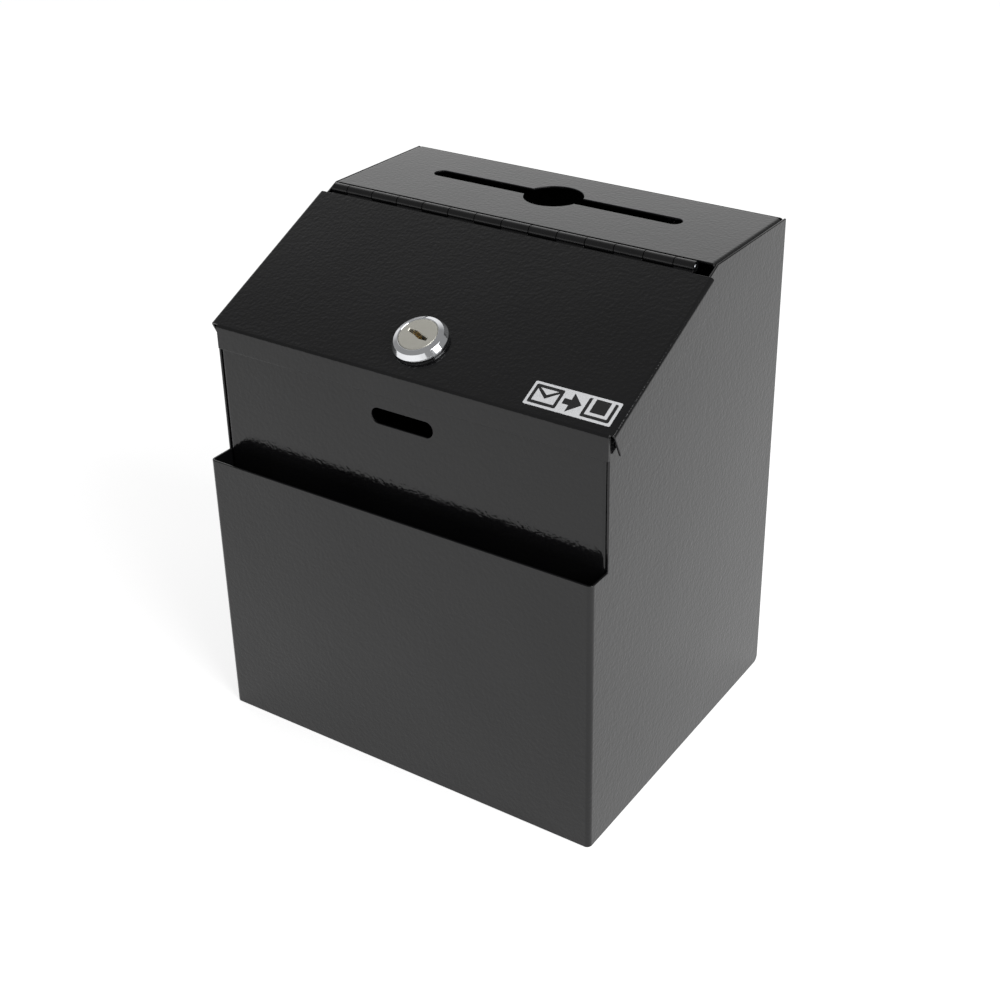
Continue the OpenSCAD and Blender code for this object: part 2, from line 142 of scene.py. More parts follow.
def add(tree: Tree, kind: str, sockets: dict | None = None, **settings) -> bpy.types.Node:
    """Adds a node with its settings and links.

    Args:
        tree: The node tree that it goes into.
        kind: The node's type, without the prefix that all share.
        sockets: Input name or number to a value, or to the output that feeds it.
        **settings: Properties of the node itself.

    Returns:
        The new node.
    """
    node = tree.nodes.new("ShaderNode" + kind)
    for name, value in settings.items():
        setattr(node, name, value)
    for name, value in (sockets or {}).items():
        if isinstance(value, Socket):
            tree.links.new(value, node.inputs[name])
        else:
            node.inputs[name].default_value = value
    return node


def noise(tree: Tree, place: Socket, size: float, detail: float) -> Socket:
    """Adds a noise with patches of a size in millimetres, about 0 to 1."""
    made = add(tree, "TexNoise", {"Vector": place, "Scale": per_mm(size), "Detail": detail})
    return made.outputs["Fac"]


def blend(tree: Tree, share: Socket, first: str, second: str) -> Socket:
    """Adds a mix of two sRGB hex colours by the share of the second."""
    return add(tree, "Mix", {0: share, 6: linear(first), 7: linear(second)},
               data_type="RGBA").outputs[2]


def ramp(tree: Tree, value: Socket, stretch: Pair, ends: Pair = (0.0, 1.0),
         **settings) -> Socket:
    """Adds a map from a stretch of a value to new ends, held beyond them."""
    sockets = {"Value": value, "From Min": stretch[0], "From Max": stretch[1],
               "To Min": ends[0], "To Max": ends[1]}
    return add(tree, "MapRange", sockets, **settings).outputs[0]


def bump(tree: Tree, height: Socket, depth: float, under: Socket | None = None) -> Socket:
    """Adds a relief of a depth in millimetres over the one under it, as a bent normal."""
    sockets = {"Height": height, "Distance": depth * MM}
    sockets |= {} if under is None else {"Normal": under}
    return add(tree, "Bump", sockets).outputs[0]


@dataclass(frozen=True)
class Finish:
    """What every finish shares: its name, and the record's slot that it stands for."""

    name: str
    slot: str

    def material(self) -> bpy.types.Material:
        """Makes the material on first use, and hands out the same one after that."""
        made = bpy.data.materials.get(self.name)
        if made is None:
            made = bpy.data.materials.new(self.name)
            made.use_nodes = True
            made.node_tree.nodes.clear()
            self.dress(made.node_tree)
        return made

    def dress(self, tree: Tree) -> None:
        """Fills the material's empty node tree."""
        raise NotImplementedError

    def close(self, tree: Tree, sockets: dict) -> None:
        """Ends a node tree with the surface shader and its inputs."""
        shader = add(tree, "BsdfPrincipled", sockets)
        add(tree, "OutputMaterial", {"Surface": shader.outputs[0]})


@dataclass(frozen=True)
class PowderCoat(Finish):
    """Polyester powder, sprayed on and baked.

    The melt levels into shallow cells, an orange peel, which frays the edge of each reflection.
    """

    dark: str = "#0C0C0D"
    pale: str = "#151516"
    roughness: float = 0.08
    grain_roughness: float = 0.13
    ior: float = 1.41
    cell: float = 3.2
    cell_depth: float = 0.03
    grain: float = 1.4
    grain_depth: float = 0.1
    sag: float = 38.0
    sag_depth: float = 0.12
    spread: Pair = (0.3, 0.7)  # stretch of the grain that the gloss follows

    def dress(self, tree: Tree) -> None:
        """Fills the material's node tree: cells, grain and the sheet's slow waves."""
        place = add(tree, "TexCoord").outputs["Object"]
        cells = noise(tree, place, self.cell, 1.0)
        grain = noise(tree, place, self.grain, 2.0)
        waves = noise(tree, place, self.sag, 0.0)
        tint = blend(tree, waves, self.dark, self.pale)
        gloss = ramp(tree, grain, self.spread, (self.roughness, self.grain_roughness))
        slow = bump(tree, waves, self.sag_depth)
        peel = bump(tree, cells, self.cell_depth, slow)
        fine = bump(tree, grain, self.grain_depth, peel)
        self.close(tree, {"Base Color": tint, "Roughness": gloss, "IOR": self.ior,
                          "Normal": fine})


@dataclass(frozen=True)
class PlatedMetal(Finish):
    """Metal with a thin plate: chrome, nickel or zinc.

    The plate is bright and even. Handling leaves faint cloudy patches in its gloss.
    """

    bright: str = "#E4E5E7"
    cloudy: str = "#CFD1D4"
    roughness: float = 0.07
    cloud_roughness: float = 0.14
    cloud: float = 6.0
    grain: float = 0.4
    grain_depth: float = 0.0004
    spread: Pair = (0.35, 0.7)  # stretch of the clouds that the gloss follows

    def dress(self, tree: Tree) -> None:
        """Fills the material's node tree: clouds in colour and gloss over a fine grain."""
        place = add(tree, "TexCoord").outputs["Object"]
        cloud = noise(tree, place, self.cloud, 4.0)
        grain = noise(tree, place, self.grain, 2.0)
        tint = blend(tree, cloud, self.bright, self.cloudy)
        gloss = ramp(tree, cloud, self.spread, (self.roughness, self.cloud_roughness))
        self.close(tree, {"Base Color": tint, "Roughness": gloss, "Metallic": 1.0,
                          "Normal": bump(tree, grain, self.grain_depth)})


@dataclass(frozen=True)
class TurnedMetal(Finish):
    """Nickel plate over a face that was turned on a lathe.

    The tool leaves fine rings, which spread each highlight into a soft fan across them.
    """

    centre: Triple = (0.0, 0.0, 0.0)
    bright: str = "#E6E4DA"
    cloudy: str = "#D6D4CA"
    roughness: float = 0.35
    cloud_roughness: float = 0.48
    ring: float = 0.35
    ring_depth: float = 0.0015
    cloud: float = 5.0

    def dress(self, tree: Tree) -> None:
        """Fills the material's node tree: rings about the centre, and a patchy gloss."""
        place = add(tree, "TexCoord").outputs["Object"]
        away = add(tree, "VectorMath", {0: place, 1: self.centre}, operation="DISTANCE")
        turns = add(tree, "Math",
                    {0: away.outputs["Value"], 1: 2 * math.pi * per_mm(self.ring)},
                    operation="MULTIPLY")
        rings = add(tree, "Math", {0: turns.outputs[0]}, operation="SINE")
        cloud = noise(tree, place, self.cloud, 3.0)
        tint = blend(tree, cloud, self.bright, self.cloudy)
        gloss = ramp(tree, cloud, (0.0, 1.0), (self.roughness, self.cloud_roughness))
        self.close(tree, {"Base Color": tint, "Roughness": gloss, "Metallic": 1.0,
                          "Normal": bump(tree, rings.outputs[0], self.ring_depth)})


@dataclass(frozen=True)
class PrintedVinyl(Finish):
    """Vinyl film with a satin top, cut from a roll and stuck on.

    It is bright and even, with a faint tooth that keeps its highlight soft.
    """

    film: str = "#E9EAEC"
    speck: str = "#D9DADD"
    roughness: float = 0.38
    tooth: float = 0.6
    tooth_depth: float = 0.004
    ior: float = 1.5
    spread: Pair = (0.55, 0.7)  # stretch of the tooth that shows as specks

    def dress(self, tree: Tree) -> None:
        """Fills the material's node tree: specks of the print's screen over the film."""
        place = add(tree, "TexCoord").outputs["Object"]
        tooth = noise(tree, place, self.tooth, 2.0)
        tint = blend(tree, ramp(tree, tooth, self.spread), self.film, self.speck)
        self.close(tree, {"Base Color": tint, "Roughness": self.roughness, "IOR": self.ior,
                          "Normal": bump(tree, tooth, self.tooth_depth)})


@dataclass(frozen=True)
class LitSweep(Finish):
    """A matt white acrylic sheet, lit through from below as well as from above."""

    sheet: str = "#E6E6E6"
    glow: float = 0.66
    roughness: float = 0.9

    def dress(self, tree: Tree) -> None:
        """Fills the material's node tree: a plain diffuse white with its own even glow."""
        self.close(tree, {"Base Color": linear(self.sheet), "Roughness": self.roughness,
                          "Specular IOR Level": 0.0, "Emission Color": (1.0, 1.0, 1.0, 1.0),
                          "Emission Strength": self.glow})


# Black polyester powder: nearly black, with a clear but frayed reflection.
COAT = PowderCoat("black_polyester_powder_coat", "powder_coat")
# The same powder on rolled knuckles, where it lies thinner: duller and finer.
HINGE_COAT = PowderCoat("black_powder_coat_on_rolled_steel", "hinge_coat",
                        roughness=0.2, grain_roughness=0.3, ior=1.42, cell=1.4,
                        cell_depth=0.012, grain_depth=0.006, sag=9.0, sag_depth=0.02)
# Bare drawn wire: grey and fairly bright.
DRAWN_WIRE = PlatedMetal("drawn_steel_wire", "pin_steel", bright="#A9ABAE", cloudy="#8F9194",
                         roughness=0.22, cloud_roughness=0.34)
# Polished chrome over a zinc casting: a mirror with faint clouds.
CHROME = PlatedMetal("chrome_plated_zinc_casting", "lock_chrome", bright="#E8E9EB",
                     cloudy="#D6D8DB", roughness=0.05, cloud_roughness=0.11)
# Clear zinc plate: bluish grey, with patches that are duller.
ZINC = PlatedMetal("clear_zinc_plated_steel", "zinc_steel", bright="#BFC3C8", cloudy="#A7A9A4",
                   roughness=0.24, cloud_roughness=0.4, cloud=3.5, grain_depth=0.0015)
# Stamped brass: warm yellow, tarnished in patches.
BRASS = PlatedMetal("stamped_brass", "wafer_brass", bright="#B9975A", cloudy="#8F7040",
                    roughness=0.2, cloud_roughness=0.36, cloud=3.0)
# Tempered spring wire: dark and slightly blue.
SPRING = PlatedMetal("tempered_spring_wire", "spring_steel", bright="#8D9198", cloudy="#777A7F",
                     roughness=0.2, cloud_roughness=0.3, cloud=2.0)
# White vinyl film.
FILM = PrintedVinyl("white_vinyl_film", "label_vinyl")
# Black ink on the film: flat black with the film's own sheen.
INK = PrintedVinyl("black_screen_ink", "label_vinyl", film="#151516", speck="#1D1D1F",
                   roughness=0.42)
# White acrylic sweep that the box stands on.
SWEEP = LitSweep("white_acrylic_sweep", "")


# ------------------------------
# Mesh tools, all in millimetres


# Turns that lay a prism, drawn in x and y and raised along z, along another axis
ALONG_X = Matrix(((0, 0, 1, 0), (1, 0, 0, 0), (0, 1, 0, 0), (0, 0, 0, 1)))  # drawn in y and z
ALONG_BACK = Matrix(((1, 0, 0, 0), (0, 0, -1, 0), (0, 1, 0, 0), (0, 0, 0, 1)))  # in x and z


def put(name: str, data: bpy.types.ID) -> bpy.types.Object:
    """Makes an object round some data, links it to the scene and hands it back."""
    thing = bpy.data.objects.new(name, data)
    bpy.context.scene.collection.objects.link(thing)
    return thing


def bake(name: str, made: Solid) -> bpy.types.Mesh:
    """Turns a working mesh into mesh data.

    Args:
        name: The data's name.
        made: The working mesh. It is used up.

    Returns:
        The mesh data.
    """
    mesh = bpy.data.meshes.new(name)
    made.to_mesh(mesh)
    made.free()
    return mesh


def weld(made: Solid, near: float = WELD) -> None:
    """Joins corners that lie together, and drops faces that are left with no size."""
    bmesh.ops.remove_doubles(made, verts=made.verts, dist=near)
    bmesh.ops.dissolve_degenerate(made, edges=made.edges, dist=min(near, WELD))


def flatten(made: Solid, angle: float) -> None:
    """Joins faces that meet within an angle, in degrees."""
    bmesh.ops.dissolve_limit(made, angle_limit=math.radians(angle), verts=made.verts,
                             edges=made.edges, use_dissolve_boundaries=False)


def prism(outline: Outline, low: float, high: float, cap: Outline | None = None) -> Solid:
    """Makes a closed prism, or a taper from one outline to another.

    Args:
        outline: Points in x and y, anticlockwise.
        low: Height of its lower face.
        high: Height of its upper face.
        cap: The upper face's outline, if it differs. It has as many points.

    Returns:
        The new mesh.
    """
    made = bmesh.new()
    lower = [made.verts.new((x, y, low)) for x, y in outline]
    upper = [made.verts.new((x, y, high)) for x, y in cap or outline]
    made.faces.new(list(reversed(lower)))
    made.faces.new(upper)
    for i in range(len(outline)):
        made.faces.new((lower[i - 1], lower[i], upper[i], upper[i - 1]))
    return made


def rod(rings: Sequence[Sequence[Vector]]) -> Solid:
    """Joins rings of points into a closed rod.

    Args:
        rings: Rings with as many points each, anticlockwise about the rod's direction.

    Returns:
        The new mesh.
    """
    made = bmesh.new()
    loops = [[made.verts.new(point) for point in ring] for ring in rings]
    for here, there in zip(loops, loops[1:]):
        for i in range(len(here)):
            made.faces.new((here[i - 1], here[i], there[i], there[i - 1]))
    made.faces.new(list(reversed(loops[0])))
    made.faces.new(loops[-1])
    return made


def tube(path: Sequence[Vector], radius: float, sides: int) -> Solid:
    """Sweeps a round section along a path and closes its ends.

    Args:
        path: Points of the centre line.
        radius: Radius of the section.
        sides: Number of faces round it.

    Returns:
        The new mesh.
    """
    rings = []
    side = (path[1] - path[0]).normalized().orthogonal()
    for k, point in enumerate(path):
        ahead = (path[min(k + 1, len(path) - 1)] - path[max(k - 1, 0)]).normalized()
        side = (side - ahead * side.dot(ahead)).normalized()
        up = ahead.cross(side)
        rings.append([point + radius * (math.cos(a) * side + math.sin(a) * up)
                      for a in (2 * math.pi * i / sides for i in range(sides))])
    return rod(rings)


def lathe(profile: Outline, steps: int = ROUND) -> Solid:
    """Turns a closed profile about the z axis.

    Args:
        profile: Points in radius and height. Stretches at radius 0 close on the axis.
        steps: Number of faces round the axis.

    Returns:
        The new mesh, closed.
    """
    made = bmesh.new()
    rings = []
    for k in range(steps):
        turn = 2 * math.pi * k / steps
        rings.append([made.verts.new((r * math.cos(turn), r * math.sin(turn), z))
                      for r, z in profile])
    for k in range(steps):
        here, there = rings[k - 1], rings[k]
        for i in range(len(profile)):
            if profile[i - 1][0] > 0 or profile[i][0] > 0:
                made.faces.new((here[i - 1], there[i - 1], there[i], here[i]))
    weld(made, FINE_WELD)
    bmesh.ops.recalc_face_normals(made, faces=made.faces)
    return made


def round_profile(points: Sequence[Triple], steps: int = 4) -> Points:
    """Rounds the corners of a closed profile.

    Args:
        points: Corners as x, y and the radius of that corner.
        steps: Number of chords in each rounded corner.

    Returns:
        The profile's points.
    """
    made = []
    for i, (x, y, radius) in enumerate(points):
        corner = Vector((x, y))
        if radius <= 0:
            made.append((x, y))
            continue
        before = (Vector(points[i - 1][:2]) - corner).normalized()
        after = (Vector(points[(i + 1) % len(points)][:2]) - corner).normalized()
        half = before.angle(after) / 2
        middle = corner + (before + after).normalized() * (radius / math.sin(half))
        start = corner + before * (radius / math.tan(half)) - middle
        end = corner + after * (radius / math.tan(half)) - middle
        sweep = start.angle_signed(end)
        for k in range(steps + 1):
            spoke = start.copy()
            spoke.rotate(Matrix.Rotation(-sweep * k / steps, 2))
            made.append(tuple(middle + spoke))
    return made


def disc_outline(radius: float, steps: int = ROUND) -> Points:
    """Points of a circle about the origin, anticlockwise."""
    turns = [2 * math.pi * k / steps for k in range(steps)]
    return [(radius * math.cos(turn), radius * math.sin(turn)) for turn in turns]


def box_outline(left: float, low: float, right: float, high: float) -> Points:
    """Corners of a rectangle, anticlockwise."""
    return [(left, low), (right, low), (right, high), (left, high)]


def soft_box_outline(left: float, low: float, right: float, high: float, radius: float,
                     steps: int = 4) -> Points:
    """Outline of a rectangle with round corners, anticlockwise."""
    sharp = box_outline(left, low, right, high)
    return round_profile([(x, y, radius) for x, y in sharp], steps)


def moved(made: Solid, place: Matrix) -> Solid:
    """Moves a mesh by a matrix and hands it back."""
    made.transform(place)
    return made


def mix(target: Solid, other: Solid, how: Boolean) -> Solid:
    """Cuts, joins or intersects two closed meshes.

    Args:
        target: The first solid. It is used up.
        other: The second solid. It is used up.
        how: What is done with it.

    Returns:
        The new mesh.
    """
    shapes = []
    for solid in (target, other):
        bmesh.ops.recalc_face_normals(solid, faces=solid.faces)
        shapes.append(put("work", bake("work", solid)))
    tool = shapes[0].modifiers.new("mix", "BOOLEAN")
    tool.operation = how.value
    tool.solver = "EXACT"
    tool.object = shapes[1]
    bpy.context.view_layer.update()
    result = shapes[0].evaluated_get(bpy.context.evaluated_depsgraph_get())
    made = bmesh.new()
    made.from_mesh(result.data)
    for shape in shapes:
        mesh = shape.data
        bpy.data.objects.remove(shape)
        bpy.data.meshes.remove(mesh)
    weld(made)
    return made


def cut(made: Solid, *tools: Solid) -> Solid:
    """Cuts closed meshes out of the first one, in order."""
    for tool in tools:
        made = mix(made, tool, Boolean.CUT)
    return made


def soften(made: Solid, width: float, steps: int = 2) -> Solid:
    """Rounds the sharp edges of a solid, as a coat of powder or a tumbler leaves them.

    Args:
        made: The solid.
        width: How far the rounding reaches from each edge.
        steps: Number of faces across it.

    Returns:
        The same mesh.
    """
    edges = [e for e in made.edges
             if len(e.link_faces) == 2 and e.calc_face_angle(0.0) > math.radians(SHARP)]
    bmesh.ops.bevel(made, geom=edges, offset=width, offset_type="OFFSET", segments=steps,
                    profile=0.5, affect="EDGES", clamp_overlap=False, miter_outer="SHARP",
                    miter_inner="SHARP")
    weld(made)
    return made


def merge(target: Solid, other: Solid) -> Solid:
    """Adds a second mesh to the first as a separate shell.

    Args:
        target: The mesh that grows.
        other: The mesh that is added. It is used up.

    Returns:
        The first mesh.
    """
    mesh = bake("work", other)
    target.from_mesh(mesh)
    bpy.data.meshes.remove(mesh)
    return target


def limits(points: Sequence[Vector]) -> tuple[Vector, Vector]:
    """Lowest and highest corner of the box round some points."""
    return (Vector([min(p[k] for p in points) for k in range(3)]),
            Vector([max(p[k] for p in points) for k in range(3)]))


# ------------------------------
# The bench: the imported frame, and how a finished mesh becomes a piece of it


@dataclass
class Bench:
    """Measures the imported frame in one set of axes, and puts finished meshes on its bodies."""

    frame: dict
    axes: Matrix = field(default_factory=lambda: Matrix.Scale(MM, 4))  # to metres

    def points(self, node: str) -> list[Vector]:
        """The corners of a CAD node's mesh, in millimetres."""
        back = self.axes.inverted()
        return [back @ v.co for v in self.frame["nodes"][node].data.vertices]

    def span(self, node: str) -> tuple[Vector, Vector]:
        """Lowest and highest corner of a CAD node, in millimetres."""
        return limits(self.points(node))

    def blank(self, node: str) -> Solid:
        """Copies a CAD node as a clean mesh with whole faces.

        Args:
            node: The node's name.

        Returns:
            The new mesh, in millimetres.
        """
        made = bmesh.new()
        made.from_mesh(self.frame["nodes"][node].data)
        made.transform(self.axes.inverted())
        weld(made, FRAME_WELD)
        flatten(made, FRAME_FLAT)
        return made

    def joint(self, name: str) -> dict:
        """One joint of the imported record, by its name."""
        return next(j for j in self.frame["joints"] if j["name"] == name)

    def piece(self, name: str, made: Solid, finish: Finish, body: Body, node: str = "") -> None:
        """Turns a finished mesh into a piece that rides on a body.

        Args:
            name: The piece's name.
            made: Its mesh in millimetres. It is used up.
            finish: Its finish.
            body: The body that it rides on.
            node: The CAD node that it replaces, if it does.
        """
        made.transform(self.axes)
        loose = [v for v in made.verts if not v.link_faces]
        bmesh.ops.delete(made, geom=loose, context="VERTS")
        bmesh.ops.recalc_face_normals(made, faces=made.faces)
        for face in made.faces:
            face.smooth = True
        for edge in made.edges:
            edge.smooth = edge.calc_face_angle(0.0) < math.radians(CREASE)
        mesh = bake(name, made)
        mesh.materials.append(finish.material())
        thing = put(name, mesh)
        even = thing.modifiers.new("even_normals", "WEIGHTED_NORMAL")
        even.keep_sharp = True
        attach(thing, body.value)
        if node:
            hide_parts(node)
        LOG.info("%s: %d faces in %s on %s", name, len(mesh.polygons), finish.name, body.value)


def barrel_sizes(bench: Bench) -> Pair:
    """Radius of the lock's barrel, and how far its flats are from the axis."""
    barrel = [p for p in bench.points("lock_housing") if p.z < BARREL_LEVEL]
    return max(math.hypot(p.x, p.y) for p in barrel), max(p.y for p in barrel)


# ------------------------------
# Sub-assemblies


@dataclass
class Case:
    """The folded case: the wrap with its side plates, and the four panels inside it."""

    bench: Bench

    def build(self) -> None:
        """Makes the case's five panels, with their cut edges rounded by the coat."""
        panels = {"wrap_sheet": "outer_wrap", "front_sheet": "front_panel",
                  "back_sheet": "back_panel", "base_sheet": "bottom_panel",
                  "top_sheet": "top_panel"}
        for name, node in panels.items():
            sheet = soften(self.bench.blank(node), COAT_ROUND, COAT_STEPS)
            self.bench.piece(name, sheet, COAT, Body.CASE, node)


@dataclass
class PianoHinge:
    """The hinge along the top: two leaves rolled into knuckles round one wire."""

    bench: Bench
    leaf_round: float = 0.25  # rounding of the knuckles' ends and the leaves' edges
    wire_round: int = 24  # faces round the wire

    def build(self) -> None:
        """Makes both leaves and the wire that joins them."""
        for name, node, body in (("hinge_leaf_on_case", "hinge_leaf_body", Body.CASE),
                                 ("hinge_leaf_on_lid", "hinge_leaf_lid", Body.LID)):
            leaf = soften(self.bench.blank(node), self.leaf_round)
            self.bench.piece(name, leaf, HINGE_COAT, body, node)
        self.bench.piece("hinge_wire", self.wire(), DRAWN_WIRE, Body.CASE, "hinge_pin")

    def wire(self) -> Solid:
        """Makes the wire, with domed ends as a cropping tool and a hammer leave them."""
        low, high = self.bench.span("hinge_pin")
        radius = (high.z - low.z) / 2
        profile = round_profile([(0, low.x, 0), (radius, low.x, radius / 2),
                                 (radius, high.x, radius / 2), (0, high.x, 0)])
        along_x = Matrix.Rotation(math.radians(90), 4, "Y")
        middle = Matrix.Translation((0, (low.y + high.y) / 2, (low.z + high.z) / 2))
        return moved(lathe(profile, self.wire_round), middle @ along_x)


@dataclass
class Flap:
    """The lid: its folded plate, and the sticker at its lower right corner."""

    bench: Bench  # in the lock's axes, with y up the slope and z out of the lid
    row: Bench  # in the frame's own axes
    bend: float = 1.6  # outer radius of the folds
    fold_steps: int = 8
    flange_corner: float = 2.5  # radius of the flanges' rear lower corners
    film_corner: float = 0.5
    ink_height: float = 0.03
    margin: float = 1.1  # white border round the print
    stroke: float = 1.3  # width of the drawn lines
    sign_shape: float = 1.35  # width over height of the letter and the tray
    arrow_head: float = 0.55  # length over height

    def build(self) -> None:
        """Makes the plate, the sticker's film and its print."""
        plate = soften(self.plate(), COAT_ROUND, COAT_STEPS)
        self.bench.piece("lid_plate", plate, COAT, Body.LID, "lid")
        low, high = self.bench.span("label")
        film = prism(soft_box_outline(low.x, low.y, high.x, high.y, self.film_corner),
                     low.z, high.z)
        self.bench.piece("sticker_film", film, FILM, Body.LID, "label")
        self.bench.piece("sticker_print", self.signs(low, high), INK, Body.LID)

    def plate(self) -> Solid:
        """Folds the lid: the sloping plate with its lip, and a flange down each side."""
        low, high = self.bench.span("lid")
        sheet = -self.bench.span("lock_washer")[1].z
        fold, lip, left, right = self.lip_sizes()
        down = (self.bench.axes.to_3x3().inverted() @ Vector((0, 0, -1))).normalized()
        back = Vector((0, -down.z, down.y))
        toe = Vector((0, fold, 0)) + lip * down
        heel = toe + sheet * back
        inner = heel - down * ((heel.z + sheet) / down.z)
        inside = self.bend - sheet
        section = round_profile([
            (high.y, 0, 0), (fold, 0, self.bend), (toe.y, toe.z, 0), (heel.y, heel.z, 0),
            (inner.y, inner.z, inside), (high.y, -sheet, 0)], self.fold_steps)
        made = moved(prism(section, left, right), ALONG_X)
        start = max(y for y, z in section if z > -FINE_WELD and y < (fold + high.y) / 2)
        for side, end in ((-1, left), (1, right)):
            root, edge = end - side * self.bend, side * high.x
            wing = round_profile([
                (root, 0, 0), (edge, 0, self.bend), (edge, low.z, 0),
                (edge - side * sheet, low.z, 0), (edge - side * sheet, -sheet, inside),
                (root, -sheet, 0)], self.fold_steps)
            made = mix(made, moved(prism(wing, -high.y, -start), ALONG_BACK), Boolean.JOIN)
        radius = self.flange_corner
        centre = (high.y - radius, low.z + radius)
        waste = [(centre[0], low.z - PAST), (high.y + PAST, low.z - PAST),
                 (high.y + PAST, centre[1])]
        for k in range(self.fold_steps + 1):
            turn = math.radians(90 * k / self.fold_steps)
            waste.append((centre[0] + radius * math.cos(turn),
                          centre[1] - radius * math.sin(turn)))
        made = cut(made, moved(prism(waste, low.x - PAST, high.x + PAST), ALONG_X),
                   prism(self.lock_hole(), -2 * sheet, sheet))
        flatten(made, FLAT)
        return made

    def lip_sizes(self) -> tuple[float, float, float, float]:
        """Measures the lip on the CAD lid.

        Returns:
            Where the lip's outer face meets the plate's, up the slope from the lock, the lip's
            depth, and where its left and right ends are.
        """
        low, _ = self.row.span("lid")
        ends = [p.x for p in self.row.points("lid") if p.z < low.z + LEVEL]
        slope = self.bench.axes.to_3x3() @ Vector((0, 1, 0))
        origin = self.bench.axes.translation / MM
        fold = (low.y - origin.y) / (slope.y / MM)
        corner = origin.z + fold * slope.z / MM
        return fold, corner - low.z, min(ends), max(ends)

    def lock_hole(self) -> Points:
        """Outline of the hole for the lock's barrel, round with two flats."""
        radius, flat = (size + BARREL_GAP for size in barrel_sizes(self.bench))
        return [(x, max(-flat, min(flat, y))) for x, y in disc_outline(radius)]

    def signs(self, low: Vector, high: Vector) -> Solid:
        """Draws a letter, an arrow and a card that drops into a tray, as plain signs.

        Args:
            low: Lowest corner of the film.
            high: Highest corner of the film.

        Returns:
            The print, as thin separate shells.
        """
        base = high.z
        top = base + self.ink_height
        under, over = base - PAST, top + PAST
        left, foot = low.x + self.margin, low.y + self.margin
        right, head = high.x - self.margin, high.y - self.margin
        tall = head - foot
        wide = self.sign_shape * tall
        line = self.stroke
        middle = left + wide / 2
        dip = foot + 0.4 * tall
        letter = prism(soft_box_outline(left, foot, left + wide, head, line / 2), base, top)
        above = [(left + 1.6 * line, head - line), (middle, dip + line),
                 (left + wide - 1.6 * line, head - line)]
        below = [(left + line, head - 1.5 * line), (left + line, foot + line),
                 (left + wide - line, foot + line), (left + wide - line, head - 1.5 * line),
                 (middle, dip - 0.4 * line)]
        letter = cut(letter, *(prism(paper, under, over) for paper in (above, below)))
        tray_left = right - wide
        tray = prism(soft_box_outline(tray_left, foot, right, head, line / 2), base, top)
        hollow = box_outline(tray_left + line, foot + line, right - line, head + PAST)
        inks = merge(letter, cut(tray, prism(hollow, under, over)))
        card = box_outline(tray_left + 2.2 * line, foot + 2 * line, right - 2.2 * line, head)
        merge(inks, prism(card, base, top))
        start, end = left + wide + line, tray_left - line
        neck = end - self.arrow_head * tall
        mid = (foot + head) / 2
        arrow = [(start, mid - line), (neck, mid - line), (neck, mid - tall / 2),
                 (end, mid), (neck, mid + tall / 2), (neck, mid + line), (start, mid + line)]
        return merge(inks, prism(arrow, base, top))


